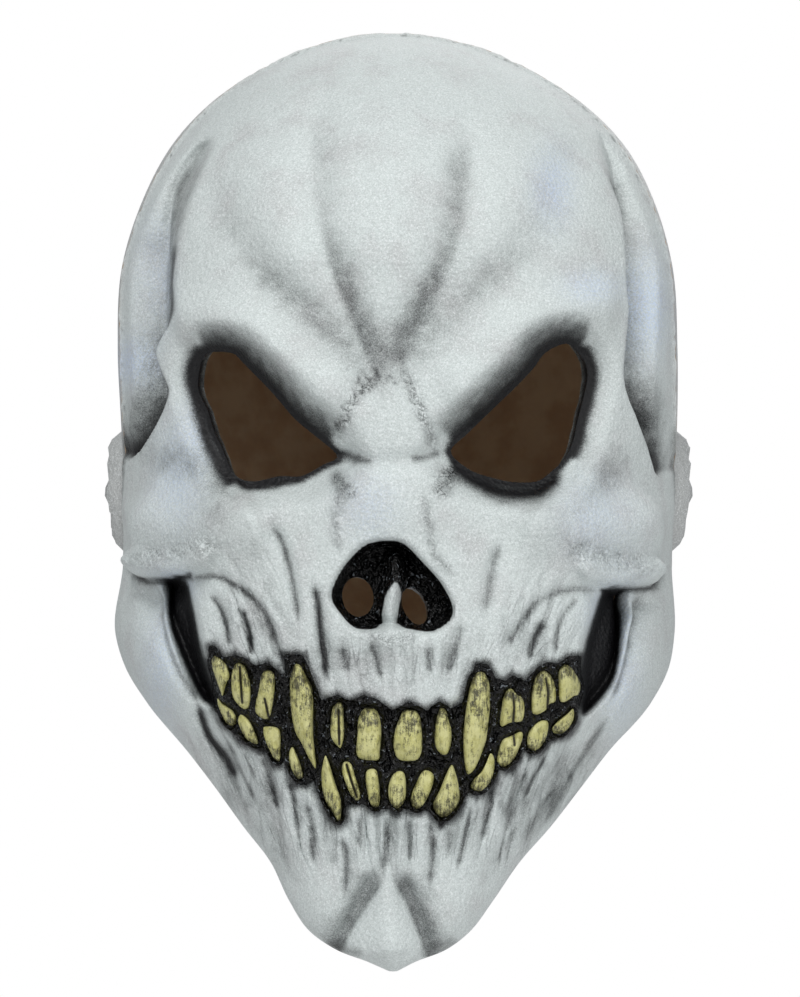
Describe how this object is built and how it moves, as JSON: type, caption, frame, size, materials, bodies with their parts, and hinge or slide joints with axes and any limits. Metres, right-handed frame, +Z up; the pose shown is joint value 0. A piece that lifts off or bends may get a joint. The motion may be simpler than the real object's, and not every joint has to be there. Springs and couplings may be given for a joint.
{
  "type": "skull mask",
  "caption": "Full-head latex skull mask with slanted eye openings, an open nasal cavity, deep cheek hollows and a fanged grin on black gums.",
  "frame": {"origin": "crown seat: the inside of the cap at its highest, where the mask rests on the wearer's head", "axes": "+Z up through the crown, the face looks along -Y, +X is on the right of someone who looks at the face"},
  "size_m": [0.1612, 0.2088, 0.2458],
  "materials": {
    "bone_paint": "satin pearl white over latex, with black airbrushed hollows",
    "cap_paint": "satin light grey over latex",
    "tooth_paint": "gloss aged yellow with dark olive stains"
  },
  "bodies": {
    "root": {"face_skin": "bone_paint", "rear_skin": "cap_paint", "tooth_upper_01": "tooth_paint", "tooth_upper_02": "tooth_paint", "tooth_upper_03": "tooth_paint", "tooth_upper_04": "tooth_paint", "tooth_upper_05": "tooth_paint", "tooth_upper_06": "tooth_paint", "tooth_upper_07": "tooth_paint", "tooth_upper_08": "tooth_paint", "tooth_upper_09": "tooth_paint", "tooth_upper_10": "tooth_paint", "tooth_upper_11": "tooth_paint", "tooth_upper_12": "tooth_paint", "tooth_lower_01": "tooth_paint", "tooth_lower_02": "tooth_paint", "tooth_lower_03": "tooth_paint", "tooth_lower_04": "tooth_paint", "tooth_lower_05": "tooth_paint", "tooth_lower_06": "tooth_paint", "tooth_lower_07": "tooth_paint", "tooth_lower_08": "tooth_paint", "tooth_lower_09": "tooth_paint", "tooth_lower_10": "tooth_paint", "tooth_lower_11": "tooth_paint", "tooth_lower_12": "tooth_paint", "tooth_lower_13": "tooth_paint", "tooth_lower_14": "tooth_paint"}
  },
  "joints": []
}
